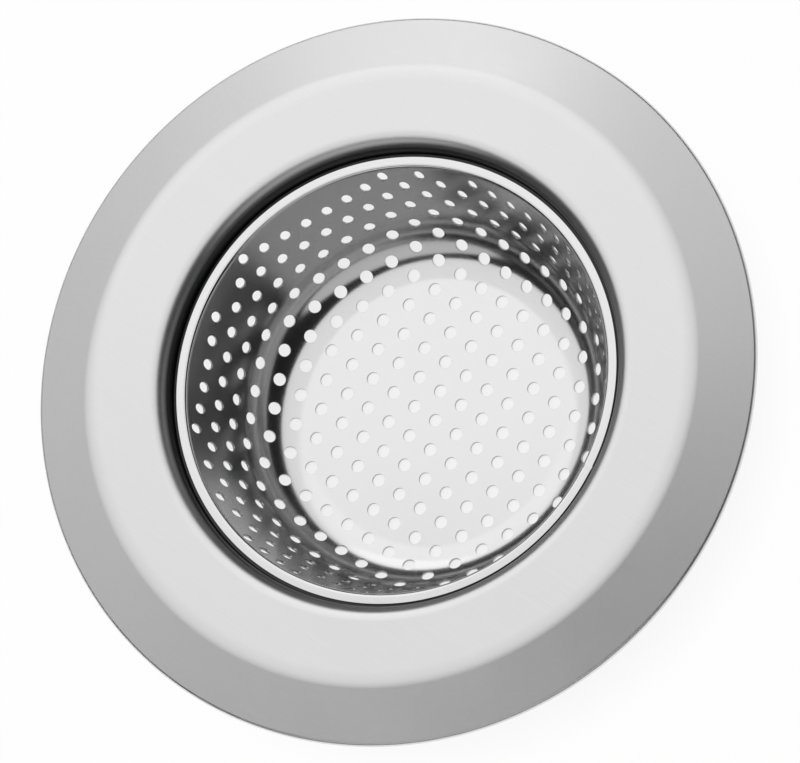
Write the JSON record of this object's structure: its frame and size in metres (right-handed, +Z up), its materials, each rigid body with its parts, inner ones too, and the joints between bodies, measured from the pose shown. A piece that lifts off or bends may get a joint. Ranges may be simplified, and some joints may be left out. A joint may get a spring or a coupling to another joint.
{
  "type": "sink strainer",
  "caption": "Round steel sink strainer: a wide flat rim with a bevelled edge rests over the drain, and a perforated cup hangs in it and lifts out to be emptied.",
  "frame": {"origin": "on the strainer's axis, in the plane of the sink surface that the rim's hem rests on", "axes": "+Z up along the axis, out of the drain; the basket hangs below the origin. Y runs along the rows of perforations"},
  "size_m": [0.114, 0.114, 0.0246],
  "materials": {
    "rim_steel": "satin pressed stainless sheet",
    "basket_steel": "bright perforated stainless sheet"
  },
  "bodies": {
    "rim": {"rim": "rim_steel"},
    "basket": {"basket": "basket_steel"}
  },
  "joints": [
    {"name": "basket_lift", "type": "slide", "parent": "rim", "child": "basket", "axis": [0, 0, 1], "range_m": [0, 0.03]}
  ]
}
